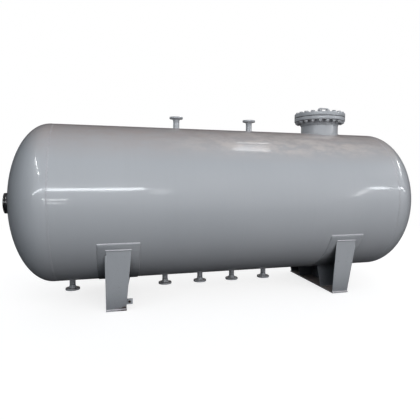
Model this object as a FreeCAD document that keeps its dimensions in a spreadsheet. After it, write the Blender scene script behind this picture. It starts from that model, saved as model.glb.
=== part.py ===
"""Horizontal storage vessel for liquefied gas, on two welded saddles.

+X runs along the vessel, +Z is up, and the saddles stand on Z = 0. The origin is on the floor,
under the centre of the vessel's overall box. All sizes are in millimetres.
"""
import FreeCAD, Part
import os

import Sketcher

Vector = FreeCAD.Vector
Rotation = FreeCAD.Rotation

SIZES = {
    # pressure envelope
    "shell_bore": 1800,
    "shell_wall": 12,
    "shell_seam_length": 4116,
    "head_depth": 450,
    "head_skirt": 40,
    "axis_height": 1162,
    "seam_from_middle": 0,
    # two small nozzles on top and five below: one flange size, a thicker neck on top
    "nozzle_pipe_bore": 49,
    "top_neck_pipe_od": 76,
    "top_neck_hub_od": 88,
    "top_neck_projection": 146,
    "bottom_neck_pipe_od": 68,
    "bottom_neck_hub_od": 90,
    "bottom_neck_projection": 140,
    "nozzle_flange_od": 165,
    "nozzle_flange_thickness": 24,
    "nozzle_flange_height": 66,
    "nozzle_hub_fillet": 7,
    "nozzle_face_od": 102,
    "nozzle_face_step": 2,
    "nozzle_bolt_circle": 125,
    "nozzle_bolt_hole": 18,
    "nozzle_bolt_count": 4,
    "top_nozzle_1": -618,
    "top_nozzle_2": 343,
    "bottom_nozzle_1": -1883,
    "bottom_nozzle_2": -773,
    "bottom_nozzle_3": -318,
    "bottom_nozzle_4": 116,
    "bottom_nozzle_5": 567,
    # manway
    "manway_position": 1379,
    "manway_pipe_bore": 452,
    "manway_pipe_od": 500,
    "manway_flange_od": 685,
    "manway_flange_thickness": 46,
    "manway_flange_height": 110,
    "manway_hub_od": 522,
    "manway_hub_fillet": 10,
    "manway_face_od": 535,
    "manway_face_step": 2,
    "manway_bolt_circle": 610,
    "manway_bolt_hole": 36,
    "manway_bolt_count": 20,
    "manway_projection": 215,
    "gasket_thickness": 3.2,
    "gasket_bore": 480,
    "manway_cover_thickness": 48,
    "handle_rod": 20,
    "handle_width": 180,
    "handle_rise": 78,
    "handle_bend": 32,
    "handle_offset": 110,
    # gauge connection in the middle of one head
    "gauge_pipe_bore": 96,
    "gauge_pipe_od": 108,
    "gauge_flange_od": 235,
    "gauge_flange_thickness": 24,
    "gauge_flange_height": 38,
    "gauge_hub_od": 134,
    "gauge_hub_fillet": 5,
    "gauge_face_od": 162,
    "gauge_face_step": 2,
    "gauge_bolt_circle": 190,
    "gauge_bolt_hole": 22,
    "gauge_bolt_count": 8,
    "gauge_projection": 42,
    "gauge_cover_thickness": 20,
    # saddles
    "saddle_spacing": 2702,
    "saddle_wrap": 120,
    "wear_plate_wrap": 129,
    "wear_plate_width": 430,
    "wear_plate_thickness": 8,
    "base_length": 1280,
    "base_width": 220,
    "base_thickness": 12,
    "base_offset": 32,
    "web_thickness": 14,
    "rib_thickness": 8,
    "rib_foot_width": 201,
    "rib_top_width": 258,
    "end_rib_foot": 620,
    "inner_rib_place": 319,
    "web_corner_drop": 55,
    "trim_margin": 60,
    "anchor_spacing": 1120,
    "anchor_hole": 28,
    "anchor_slot_length": 48,
    "lug_length": 70,
    "lug_height": 64,
    "lug_thickness": 10,
    "lug_hole": 20,
    "lug_bottom": 66,
}

doc = FreeCAD.newDocument("StorageVessel")
sheet = doc.addObject("Spreadsheet::Sheet", "Sizes")
for row, (alias, value) in enumerate(SIZES.items(), start=1):
    sheet.set(f"A{row}", alias)
    sheet.set(f"B{row}", str(value))
    sheet.setAlias(f"B{row}", alias)
doc.recompute()

# Lengths that several pieces share, as expressions of the sheet's cells.
BORE_RADIUS = "Sizes.shell_bore / 2"
SHELL_RADIUS = "(Sizes.shell_bore / 2 + Sizes.shell_wall)"
SADDLE_RADIUS = "(Sizes.shell_bore / 2 + Sizes.shell_wall + Sizes.wear_plate_thickness)"
MIDDLE = "(Sizes.gauge_projection + Sizes.gauge_cover_thickness) / 2"
HALF_SEAM_LENGTH = "Sizes.shell_seam_length / 2"
MANWAY_FACE = f"(Sizes.axis_height + {SHELL_RADIUS} + Sizes.manway_projection)"
HORN_REACH = f"({SADDLE_RADIUS} * sin(Sizes.saddle_wrap / 2))"
HORN_HEIGHT = f"(Sizes.axis_height - {SADDLE_RADIUS} * cos(Sizes.saddle_wrap / 2))"
COVER_SEAT = f"({MANWAY_FACE} + Sizes.gasket_thickness)"
GAUGE_FACE = f"(-{HALF_SEAM_LENGTH} - Sizes.head_depth - Sizes.shell_wall - Sizes.gauge_projection)"

ALONG_X = Rotation(Vector(0, 1, 0), 90)
AGAINST_X = Rotation(Vector(0, 1, 0), -90)
UPRIGHT = Rotation()
UPSIDE_DOWN = Rotation(Vector(1, 0, 0), 180)

pieces = []


def keep(piece, label):
    """Label a finished sub-part and list it for export."""
    piece.Label = label
    pieces.append(piece)
    return piece


def place(item, rotation=UPRIGHT, **coordinates):
    """Turn an object, then bind the coordinates of its base point to the sheet."""
    item.Placement = FreeCAD.Placement(Vector(), rotation)
    for axis, formula in coordinates.items():
        item.setExpression(f"Placement.Base.{axis}", formula)
    return item


def primitive(kind, name, **formulas):
    """A Part primitive whose sizes are bound to the sheet."""
    item = doc.addObject(f"Part::{kind}", name)
    for size, formula in formulas.items():
        item.setExpression(size, formula)
    return item


def cylinder(name, radius, height):
    return primitive("Cylinder", name, Radius=radius, Height=height)


def cut(name, base, tool):
    result = doc.addObject("Part::Cut", name)
    result.Base = base
    result.Tool = tool
    return result


def fuse(name, shapes):
    result = doc.addObject("Part::MultiFuse", name)
    result.Shapes = shapes
    return result


def sketch_on(body, role, name):
    """A sketch on one of the body's own origin planes."""
    plane = next(item for item in body.Origin.OriginFeatures if item.Role == role)
    sketch = body.newObject("Sketcher::SketchObject", name)
    sketch.AttachmentSupport = (plane, [""])
    sketch.MapMode = "FlatFace"
    return sketch


def at(sketch, across, up):
    """The sketch point that two sheet formulas give now."""
    return Vector(float(sketch.evalExpression(across)), float(sketch.evalExpression(up)), 0)


def pin_point(sketch, geometry, vertex, across, up):
    """Hold one sketch vertex at two sheet formulas, measured from the sketch's origin."""
    for kind, formula in (("DistanceX", across), ("DistanceY", up)):
        value = float(sketch.evalExpression(formula))
        index = sketch.addConstraint(Sketcher.Constraint(kind, -1, 1, geometry, vertex, value))
        sketch.setExpression(f"Constraints[{index}]", formula)


def outline(sketch, corners, arcs=None, closed=True):
    """Straight lines through corners, each corner a pair of sheet formulas.

    arcs turns some of the lines into arcs: the line's number gives the arc's radius and a point
    half way along it.
    """
    arcs = arcs or {}
    points = [at(sketch, across, up) for across, up in corners]
    first = sketch.GeometryCount
    edge_count = len(points) if closed else len(points) - 1
    for edge in range(edge_count):
        start, end = points[edge], points[(edge + 1) % len(points)]
        if edge in arcs:
            sketch.addGeometry(Part.Arc(start, at(sketch, *arcs[edge][1]), end))
        else:
            sketch.addGeometry(Part.LineSegment(start, end))
    # A short arc drawn clockwise is stored the other way round, so its ends are found by place.
    joints = {}
    for edge in range(edge_count):
        for vertex in (1, 2):
            spot = sketch.getPoint(first + edge, vertex)
            corner = min(range(len(points)), key=lambda number: points[number].distanceToPoint(spot))
            joints.setdefault(corner, []).append((first + edge, vertex))
    for corner, ends in sorted(joints.items()):
        pin_point(sketch, *ends[0], *corners[corner])
        if len(ends) == 2:
            sketch.addConstraint(Sketcher.Constraint("Coincident", *ends[0], *ends[1]))
    for edge, (radius, _) in arcs.items():
        size = float(sketch.evalExpression(radius))
        index = sketch.addConstraint(Sketcher.Constraint("Radius", first + edge, size))
        sketch.setExpression(f"Constraints[{index}]", radius)


def circle(sketch, across, up, diameter):
    """A circle with its centre and diameter bound to the sheet."""
    radius = float(sketch.evalExpression(diameter)) / 2
    index = sketch.addGeometry(Part.Circle(at(sketch, across, up), Vector(0, 0, 1), radius))
    pin_point(sketch, index, 3, across, up)
    size = sketch.addConstraint(Sketcher.Constraint("Diameter", index, radius * 2))
    sketch.setExpression(f"Constraints[{size}]", diameter)


def pad(body, sketch, name, length, symmetric=False):
    feature = body.newObject("PartDesign::Pad", name)
    feature.Profile = sketch
    feature.SideType = "Symmetric" if symmetric else "One side"
    feature.setExpression("Length", length)
    return feature


def pocket_through(body, sketch, name):
    """Cut the sketch's outline right through the body, both ways from its plane."""
    feature = body.newObject("PartDesign::Pocket", name)
    feature.Profile = sketch
    feature.SideType = "Symmetric"
    feature.Type = "ThroughAll"
    return feature


def bolt_holes(body, prefix):
    """A ring of bolt holes that straddles the centre lines."""
    sketch = sketch_on(body, "XY_Plane", f"{body.Name}_bolt_hole")
    turn = f"180 / Sizes.{prefix}_bolt_count"
    reach = f"Sizes.{prefix}_bolt_circle / 2"
    circle(sketch, f"{reach} * cos({turn})", f"{reach} * sin({turn})", f"Sizes.{prefix}_bolt_hole")
    hole = pocket_through(body, sketch, f"{body.Name}_first_bolt_hole")
    pattern = body.newObject("PartDesign::PolarPattern", f"{body.Name}_bolt_holes")
    pattern.Originals = [hole]
    pattern.Axis = (sketch, ["N_Axis"])
    pattern.Angle = 360
    pattern.setExpression("Occurrences", f"Sizes.{prefix}_bolt_count")
    body.Tip = pattern


def turn_about_axis(body, sketch):
    feature = body.newObject("PartDesign::Revolution", f"{body.Name}_turned")
    feature.Profile = sketch
    feature.ReferenceAxis = (sketch, ["V_Axis"])
    feature.Angle = 360
    return feature


def weld_neck_flange(label, prefix, neck):
    """A raised-face flange with a tapered hub; its face is at the origin and it hangs below.

    prefix names the flange's own sizes in the sheet, and neck those of the pipe that it is for.
    """
    body = doc.addObject("PartDesign::Body", label)
    sketch = sketch_on(body, "XZ_Plane", f"{label}_section")
    cell = f"Sizes.{prefix}_"
    bore = f"{cell}pipe_bore / 2"
    pipe = f"Sizes.{neck}_pipe_od / 2"
    rim = f"{cell}flange_od / 2"
    hub = f"Sizes.{neck}_hub_od / 2"
    fillet = f"{cell}hub_fillet"
    face = f"{cell}face_od / 2"
    step = f"-{cell}face_step"
    back = f"-{cell}flange_thickness"
    taper_end = f"-({cell}flange_thickness + 3 * {cell}flange_height) / 4"
    weld_end = f"-{cell}flange_height"
    outline(sketch, [
        (bore, "0"), (face, "0"), (face, step), (rim, step), (rim, back),
        (f"{hub} + {fillet}", back), (hub, f"{back} - {fillet}"),
        (pipe, taper_end), (pipe, weld_end), (bore, weld_end),
    ], {
        5: (fillet, (f"{hub} + {fillet} * (1 - sin(45))", f"{back} - {fillet} * (1 - cos(45))")),
    })
    turn_about_axis(body, sketch)
    bolt_holes(body, prefix)
    return keep(body, label)


def blind_cover(label, prefix):
    """A blind cover with a raised face; the face is at the origin and the cover stands above."""
    body = doc.addObject("PartDesign::Body", label)
    sketch = sketch_on(body, "XZ_Plane", f"{label}_section")
    cell = f"Sizes.{prefix}_"
    outline(sketch, [
        ("0", "0"), (f"{cell}face_od / 2", "0"), (f"{cell}face_od / 2", f"{cell}face_step"),
        (f"{cell}flange_od / 2", f"{cell}face_step"), (f"{cell}flange_od / 2", f"{cell}cover_thickness"),
        ("0", f"{cell}cover_thickness"),
    ])
    turn_about_axis(body, sketch)
    bolt_holes(body, prefix)
    return keep(body, label)


def shell_course(label, start, length, nozzle_bores):
    """One rolled plate course, cut out for the nozzles that pass through it."""
    outer = cylinder(f"{label}_outside", SHELL_RADIUS, length)
    inner = cylinder(f"{label}_inside", BORE_RADIUS, length)
    for item in (outer, inner):
        place(item, ALONG_X, x=f"{MIDDLE} + {start}", z="Sizes.axis_height")
    tube = cut(f"{label}_tube", outer, inner)
    return keep(cut(label, tube, fuse(f"{label}_openings", nozzle_bores)), label)


def head(label, outward, side, opening=None):
    """A two-to-one ellipsoidal head with its straight skirt, opening towards the shell."""
    solids = []
    for skin, wall in (("outside", "Sizes.shell_wall"), ("inside", "0")):
        radius = f"Sizes.shell_bore / 2 + {wall}"
        dome = primitive("Ellipsoid", f"{label}_{skin}_dome", Radius1=f"Sizes.head_depth + {wall}",
                         Radius2=radius, Radius3=radius)
        dome.Angle1 = 0
        dome.Angle2 = 90
        place(dome, outward, x=f"{MIDDLE} + {side} * {HALF_SEAM_LENGTH}", z="Sizes.axis_height")
        skirt = cylinder(f"{label}_{skin}_skirt", radius, "Sizes.head_skirt")
        skirt_start = f"{side} * ({HALF_SEAM_LENGTH} - Sizes.head_skirt)"
        place(skirt, outward, x=f"{MIDDLE} + {skirt_start}", z="Sizes.axis_height")
        solids.append(fuse(f"{label}_{skin}", [dome, skirt]))
    dish = cut(f"{label}_dish", *solids)
    if opening is None:
        return keep(dish, label)
    return keep(cut(label, dish, opening), label)


def nozzle_opening(name, neck, position, up):
    """The solid that a nozzle's hole takes out of the shell, from the axis outwards."""
    hole = cylinder(name, f"Sizes.{neck}_pipe_od / 2", f"{SHELL_RADIUS} + Sizes.trim_margin")
    rotation = UPRIGHT if up > 0 else UPSIDE_DOWN
    return place(hole, rotation, x=f"{MIDDLE} + Sizes.{position}", z="Sizes.axis_height")


def nozzle_pipe(label, prefix, neck, position, up):
    """A pipe set through the shell, its inner end flush with the bore."""
    length = f"{SHELL_RADIUS} + Sizes.{neck}_projection - Sizes.{prefix}_flange_height"
    rotation = UPRIGHT if up > 0 else UPSIDE_DOWN
    centre = f"{MIDDLE} + Sizes.{position}"
    outside = cylinder(f"{label}_outside", f"Sizes.{neck}_pipe_od / 2", length)
    inside = cylinder(f"{label}_inside", f"Sizes.{prefix}_pipe_bore / 2", length)
    for item in (outside, inside):
        place(item, rotation, x=centre, z="Sizes.axis_height")
    core = cylinder(f"{label}_core", BORE_RADIUS, f"2 * Sizes.{neck}_pipe_od")
    place(core, ALONG_X, x=f"{centre} - Sizes.{neck}_pipe_od", z="Sizes.axis_height")
    return keep(cut(label, outside, fuse(f"{label}_removed", [inside, core])), label)


def rib(label, saddle, foot, top, peak, side):
    """A stiffening rib from the base plate to the wear plate, tapered on its inner edge.

    foot and top are formulas for where its outer face stands across the vessel, at floor level
    and at the height of the saddle's horns. It is full width at the height of peak. side is the
    sign of its place across the saddle, and its thickness lies towards the middle.
    """
    body = doc.addObject("PartDesign::Body", label)
    side_view = sketch_on(body, "YZ_Plane", f"{label}_side")
    overlap = f"(Sizes.trim_margin * ({top} - ({foot})) / ({HORN_HEIGHT} - Sizes.base_thickness))"
    high_y = f"{top} + {overlap}"
    high_z = f"{HORN_HEIGHT} + Sizes.trim_margin"
    inward = f"{-side} * Sizes.rib_thickness"
    outline(side_view, [
        (foot, "Sizes.base_thickness"), (high_y, high_z),
        (f"{high_y} + {inward}", high_z), (f"{foot} + {inward}", "Sizes.base_thickness"),
    ])
    pad(body, side_view, f"{label}_plate", "Sizes.rib_top_width")
    trim_to_wear_plate(body)
    front_view = sketch_on(body, "XZ_Plane", f"{label}_taper")
    outside = "Sizes.rib_top_width + Sizes.trim_margin"
    outline(front_view, [
        ("Sizes.rib_foot_width", "Sizes.base_thickness"), ("Sizes.rib_top_width", peak),
        (outside, peak), (outside, "Sizes.base_thickness"),
    ])
    pocket_through(body, front_view, f"{label}_tapered")
    return place_on_saddle(keep(body, label), saddle, "Sizes.web_thickness")


def trim_to_wear_plate(body):
    """Cut away what would stand inside the wear plate's outer face."""
    arc = sketch_on(body, "YZ_Plane", f"{body.Name}_arc")
    circle(arc, "0", "Sizes.axis_height", f"2 * {SADDLE_RADIUS}")
    return pocket_through(body, arc, f"{body.Name}_trimmed")


def place_on_saddle(body, saddle, inset):
    """Stand a piece on a saddle, inset from its outer edge; its own +X points inwards."""
    outer_edge = "(Sizes.base_offset + Sizes.base_width / 2)"
    centre = f"{MIDDLE} + {saddle} * Sizes.saddle_spacing / 2"
    turn = UPRIGHT if saddle < 0 else Rotation(Vector(0, 0, 1), 180)
    return place(body, turn, x=f"{centre} + {saddle} * ({outer_edge} - ({inset}))")


def wear_plate(label, saddle):
    """The rolled plate between the shell and a saddle."""
    body = doc.addObject("PartDesign::Body", label)
    section = sketch_on(body, "YZ_Plane", f"{label}_section")
    half_wrap = "Sizes.wear_plate_wrap / 2"
    corners = [
        (f"{side} * {radius} * sin({half_wrap})", f"Sizes.axis_height - {radius} * cos({half_wrap})")
        for side, radius in ((-1, SHELL_RADIUS), (1, SHELL_RADIUS), (1, SADDLE_RADIUS), (-1, SADDLE_RADIUS))
    ]
    outline(section, corners, {
        0: (SHELL_RADIUS, ("0", f"Sizes.axis_height - {SHELL_RADIUS}")),
        2: (SADDLE_RADIUS, ("0", f"Sizes.axis_height - {SADDLE_RADIUS}")),
    })
    pad(body, section, f"{label}_plate", "Sizes.wear_plate_width", symmetric=True)
    return place(keep(body, label), UPRIGHT, x=f"{MIDDLE} + {saddle} * Sizes.saddle_spacing / 2")


def web(label, saddle):
    """The upright plate across the outer side of a saddle; its upper corners stop short."""
    body = doc.addObject("PartDesign::Body", label)
    sketch = sketch_on(body, "YZ_Plane", f"{label}_shape")
    slope = f"({HORN_REACH} - Sizes.end_rib_foot) / ({HORN_HEIGHT} - Sizes.base_thickness)"
    corner_height = f"{HORN_HEIGHT} - Sizes.web_corner_drop"
    corner_reach = f"({HORN_REACH} - Sizes.web_corner_drop * {slope})"
    outline(sketch, [
        ("-Sizes.end_rib_foot", "Sizes.base_thickness"), ("Sizes.end_rib_foot", "Sizes.base_thickness"),
        (corner_reach, corner_height), (f"-{corner_reach}", corner_height),
    ])
    pad(body, sketch, f"{label}_plate", "Sizes.web_thickness")
    trim_to_wear_plate(body)
    return place_on_saddle(keep(body, label), saddle, "0")


def base_plate(label, saddle, slotted):
    """The foot of a saddle, with round or slotted anchor holes."""
    body = doc.addObject("PartDesign::Body", label)
    plan = sketch_on(body, "XY_Plane", f"{label}_plan")
    outline(plan, [
        ("0", "-Sizes.base_length / 2"), ("Sizes.base_width", "-Sizes.base_length / 2"),
        ("Sizes.base_width", "Sizes.base_length / 2"), ("0", "Sizes.base_length / 2"),
    ])
    pad(body, plan, f"{label}_plate", "Sizes.base_thickness")
    for side in (-1, 1):
        middle = f"{side} * Sizes.anchor_spacing / 2"
        travel = "(Sizes.anchor_slot_length - Sizes.anchor_hole) / 2"
        ends = (f"Sizes.base_width / 2 - {travel}", f"Sizes.base_width / 2 + {travel}")
        for number, across in enumerate(ends if slotted else ("Sizes.base_width / 2",)):
            name = f"{label}_anchor_{'front' if side < 0 else 'back'}_{number}"
            hole = sketch_on(body, "XY_Plane", name)
            circle(hole, across, middle, "Sizes.anchor_hole")
            pocket_through(body, hole, f"{name}_cut")
        if slotted:
            name = f"{label}_slot_{'front' if side < 0 else 'back'}"
            slot = sketch_on(body, "XY_Plane", name)
            low, high = (f"{middle} {sign} Sizes.anchor_hole / 2" for sign in "-+")
            outline(slot, [(ends[0], low), (ends[1], low), (ends[1], high), (ends[0], high)])
            pocket_through(body, slot, f"{name}_cut")
    return place_on_saddle(keep(body, label), saddle, "0")


def saddle_set(name, saddle, slotted):
    """All the plates of one saddle; saddle is -1 or 1 for the end that it stands at."""
    wear_plate(f"{name}_wear_plate", saddle)
    base_plate(f"{name}_base_plate", saddle, slotted)
    web(f"{name}_web", saddle)
    inner_peak = f"Sizes.axis_height - sqrt({SADDLE_RADIUS} ^ 2 - Sizes.inner_rib_place ^ 2)"
    for place_name, front in (("front", -1), ("back", 1)):
        # The right saddle is turned half round, which swaps its own front and back.
        side = front if saddle < 0 else -front
        rib(f"{name}_end_rib_{place_name}", saddle,
            f"{side} * Sizes.end_rib_foot", f"{side} * {HORN_REACH}", HORN_HEIGHT, side)
        upright = f"{side} * Sizes.inner_rib_place"
        rib(f"{name}_inner_rib_{place_name}", saddle, upright, upright, inner_peak, side)


# Openings first, because the shell and the nozzle pipes share their positions.
top_nozzles = {f"top_nozzle_{number}": 1 for number in (1, 2)}
bottom_nozzles = {f"bottom_nozzle_{number}": -1 for number in (1, 2, 3, 4, 5)}
left_bores = []
right_bores = []
for position, up in {**top_nozzles, **bottom_nozzles}.items():
    bore = nozzle_opening(f"{position}_opening", "top_neck" if up > 0 else "bottom_neck", position, up)
    (left_bores if SIZES[position] < SIZES["seam_from_middle"] else right_bores).append(bore)
right_bores.append(nozzle_opening("manway_opening", "manway", "manway_position", 1))

skirt_end = f"({HALF_SEAM_LENGTH} - Sizes.head_skirt)"
shell_course("shell_left", f"-{skirt_end}", f"{skirt_end} + Sizes.seam_from_middle", left_bores)
shell_course("shell_right", "Sizes.seam_from_middle", f"{skirt_end} - Sizes.seam_from_middle", right_bores)

gauge_hole = cylinder("gauge_opening", "Sizes.gauge_pipe_od / 2", "Sizes.head_depth + Sizes.trim_margin")
place(gauge_hole, AGAINST_X, x=f"{MIDDLE} - {HALF_SEAM_LENGTH}", z="Sizes.axis_height")
head("head_left", AGAINST_X, -1, gauge_hole)
head("head_right", ALONG_X, 1)

for position, up in {**top_nozzles, **bottom_nozzles}.items():
    neck = "top_neck" if up > 0 else "bottom_neck"
    nozzle_pipe(f"{position}_pipe", "nozzle", neck, position, up)
    flange = weld_neck_flange(f"{position}_flange", "nozzle", neck)
    reach = f"({SHELL_RADIUS} + Sizes.{neck}_projection)"
    turn = UPRIGHT if up > 0 else UPSIDE_DOWN
    place(flange, turn, x=f"{MIDDLE} + Sizes.{position}", z=f"Sizes.axis_height + {up} * {reach}")

nozzle_pipe("manway_neck", "manway", "manway", "manway_position", 1)
manway_centre = f"{MIDDLE} + Sizes.manway_position"
place(weld_neck_flange("manway_flange", "manway", "manway"), UPRIGHT, x=manway_centre, z=MANWAY_FACE)

gasket_outside = cylinder("manway_gasket_outside", "Sizes.manway_face_od / 2", "Sizes.gasket_thickness")
gasket_inside = cylinder("manway_gasket_inside", "Sizes.gasket_bore / 2", "Sizes.gasket_thickness")
for item in (gasket_outside, gasket_inside):
    place(item, UPRIGHT, x=manway_centre, z=MANWAY_FACE)
keep(cut("manway_gasket", gasket_outside, gasket_inside), "manway_gasket")

place(blind_cover("manway_cover", "manway"), UPRIGHT, x=manway_centre, z=COVER_SEAT)

# The handle is one bent rod: a leg, a bend, the grip, a bend and a leg. It stands in front of the
# cover's middle.
handle = doc.addObject("PartDesign::Body", "manway_handle")
run = sketch_on(handle, "XZ_Plane", "manway_handle_run")
leg = "(Sizes.handle_width - Sizes.handle_rod) / 2"
grip = "(Sizes.handle_rise - Sizes.handle_rod / 2)"
inset = "Sizes.handle_bend * (1 - cos(45))"
outline(run, [
    (f"-{leg}", "0"), (f"-{leg}", f"{grip} - Sizes.handle_bend"), (f"-{leg} + Sizes.handle_bend", grip),
    (f"{leg} - Sizes.handle_bend", grip), (leg, f"{grip} - Sizes.handle_bend"), (leg, "0"),
], {
    1: ("Sizes.handle_bend", (f"-{leg} + {inset}", f"{grip} - {inset}")),
    3: ("Sizes.handle_bend", (f"{leg} - {inset}", f"{grip} - {inset}")),
}, closed=False)
rod = sketch_on(handle, "XY_Plane", "manway_handle_rod")
circle(rod, f"-{leg}", "0", "Sizes.handle_rod")
doc.recompute()
swept = handle.newObject("PartDesign::AdditivePipe", "manway_handle_bent")
swept.Profile = rod
swept.Spine = run
cover_top = f"{COVER_SEAT} + Sizes.manway_cover_thickness"
place(keep(handle, "manway_handle"), UPRIGHT, x=manway_centre, y="-Sizes.handle_offset", z=cover_top)

# The gauge connection is turned to point out of the head.
gauge_length = "Sizes.head_depth + Sizes.shell_wall + Sizes.gauge_projection - Sizes.gauge_flange_height"
gauge_outside = cylinder("gauge_pipe_outside", "Sizes.gauge_pipe_od / 2", gauge_length)
gauge_inside = cylinder("gauge_pipe_inside", "Sizes.gauge_pipe_bore / 2", gauge_length)
gauge_core = primitive("Ellipsoid", "gauge_pipe_core", Radius1="Sizes.head_depth",
                       Radius2=BORE_RADIUS, Radius3=BORE_RADIUS)
for item in (gauge_outside, gauge_inside, gauge_core):
    place(item, AGAINST_X, x=f"{MIDDLE} - {HALF_SEAM_LENGTH}", z="Sizes.axis_height")
keep(cut("gauge_pipe", gauge_outside, fuse("gauge_pipe_removed", [gauge_inside, gauge_core])), "gauge_pipe")
gauge_flange = weld_neck_flange("gauge_flange", "gauge", "gauge")
place(gauge_flange, AGAINST_X, x=f"{MIDDLE} + {GAUGE_FACE}", z="Sizes.axis_height")

place(blind_cover("gauge_cover", "gauge"), AGAINST_X, x=f"{MIDDLE} + {GAUGE_FACE}", z="Sizes.axis_height")

saddle_set("left_saddle", -1, slotted=False)
saddle_set("right_saddle", 1, slotted=True)

# The earthing lug continues the left saddle's front end rib.
lug = doc.addObject("PartDesign::Body", "earthing_lug")
lug_shape = sketch_on(lug, "XZ_Plane", "earthing_lug_shape")
outline(lug_shape, [
    ("0", "Sizes.lug_bottom"), ("Sizes.lug_length", "Sizes.lug_bottom"),
    ("Sizes.lug_length", "Sizes.lug_bottom + Sizes.lug_height"),
    ("0", "Sizes.lug_bottom + Sizes.lug_height"),
])
circle(lug_shape, "Sizes.lug_length / 2", "Sizes.lug_bottom + Sizes.lug_height / 2", "Sizes.lug_hole")
pad(lug, lug_shape, "earthing_lug_plate", "Sizes.lug_thickness")
place_on_saddle(keep(lug, "earthing_lug"), -1, "Sizes.web_thickness + Sizes.rib_foot_width")
lug.setExpression("Placement.Base.y", "-Sizes.end_rib_foot")

doc.recompute()

for item in doc.Objects:
    if "Invalid" in item.State or "Error" in item.State:
        raise RuntimeError(f"{item.Label} did not compute: {item.State}")
for piece in pieces:
    if piece.Shape.isNull() or not piece.Shape.isValid():
        raise RuntimeError(f"{piece.Label} has no valid shape")
    if len(piece.Shape.Solids) != 1:
        raise RuntimeError(f"{piece.Label} is {len(piece.Shape.Solids)} solids")

os.makedirs("parts", exist_ok=True)
for piece in pieces:
    piece.Shape.exportStep(os.path.join("parts", f"{piece.Label}.step"))
print(f"{len(pieces)} parts")
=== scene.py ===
"""The looks of a horizontal pressure tank on two saddles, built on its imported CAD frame."""

import math

import bmesh
import bpy
from mathutils import Matrix, Vector, noise


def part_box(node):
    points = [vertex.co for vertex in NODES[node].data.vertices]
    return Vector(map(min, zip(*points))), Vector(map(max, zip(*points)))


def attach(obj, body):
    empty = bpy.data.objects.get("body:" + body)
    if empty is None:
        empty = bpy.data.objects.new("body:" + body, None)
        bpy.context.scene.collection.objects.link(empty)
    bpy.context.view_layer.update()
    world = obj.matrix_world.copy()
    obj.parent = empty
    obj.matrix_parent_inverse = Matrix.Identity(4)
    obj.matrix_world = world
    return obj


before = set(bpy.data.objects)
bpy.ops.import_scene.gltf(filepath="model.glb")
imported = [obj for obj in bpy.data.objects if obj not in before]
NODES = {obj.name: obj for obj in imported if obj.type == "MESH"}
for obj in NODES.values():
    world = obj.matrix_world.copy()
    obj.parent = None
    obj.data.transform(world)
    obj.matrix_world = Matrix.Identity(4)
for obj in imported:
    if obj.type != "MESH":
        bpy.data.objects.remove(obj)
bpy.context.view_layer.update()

# The vessel, read off its nodes. Its axis runs along X.
LEFT_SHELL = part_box("shell_left")
RIGHT_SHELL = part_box("shell_right")
RADIUS = (LEFT_SHELL[1].z - LEFT_SHELL[0].z) / 2
AXIS = (LEFT_SHELL[1].z + LEFT_SHELL[0].z) / 2

ALONG, FRONT, UP = Vector((1, 0, 0)), Vector((0, -1, 0)), Vector((0, 0, 1))

# Sizes of the solids that their boxes don't show, in metres.
HEAD_DEPTH = 0.462
MANWAY_FLANGE = 0.046
MANWAY_BOLT_CIRCLE = 0.610
GAUGE_FLANGE = 0.024
GAUGE_BOLT_CIRCLE = 0.190
WEAR_PLATE = 0.008
SADDLE_RADIUS = RADIUS + WEAR_PLATE
HORN_ANGLE = math.radians(60)  # from straight down to the tops of the end ribs
WEB, RIB, RIB_FOOT, RIB_TOP = 0.014, 0.008, 0.201, 0.258  # two plates, and a rib's width at both ends
END_RIB_FOOT, INNER_RIB, FOOT_TOP = 0.620, 0.319, 0.012  # two distances along Y, and a height
WEB_CORNER_DROP = 0.055

# Bolts: radius, pitch, width over the flats, head thickness and nut thickness, in metres.
M16 = (0.008, 0.002, 0.024, 0.010, 0.013)
M20 = (0.010, 0.0025, 0.030, 0.0125)  # used without nuts
M33 = (0.0165, 0.0035, 0.050, 0.021, 0.026)


# ---------------------------------------------------------------- node materials

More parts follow.
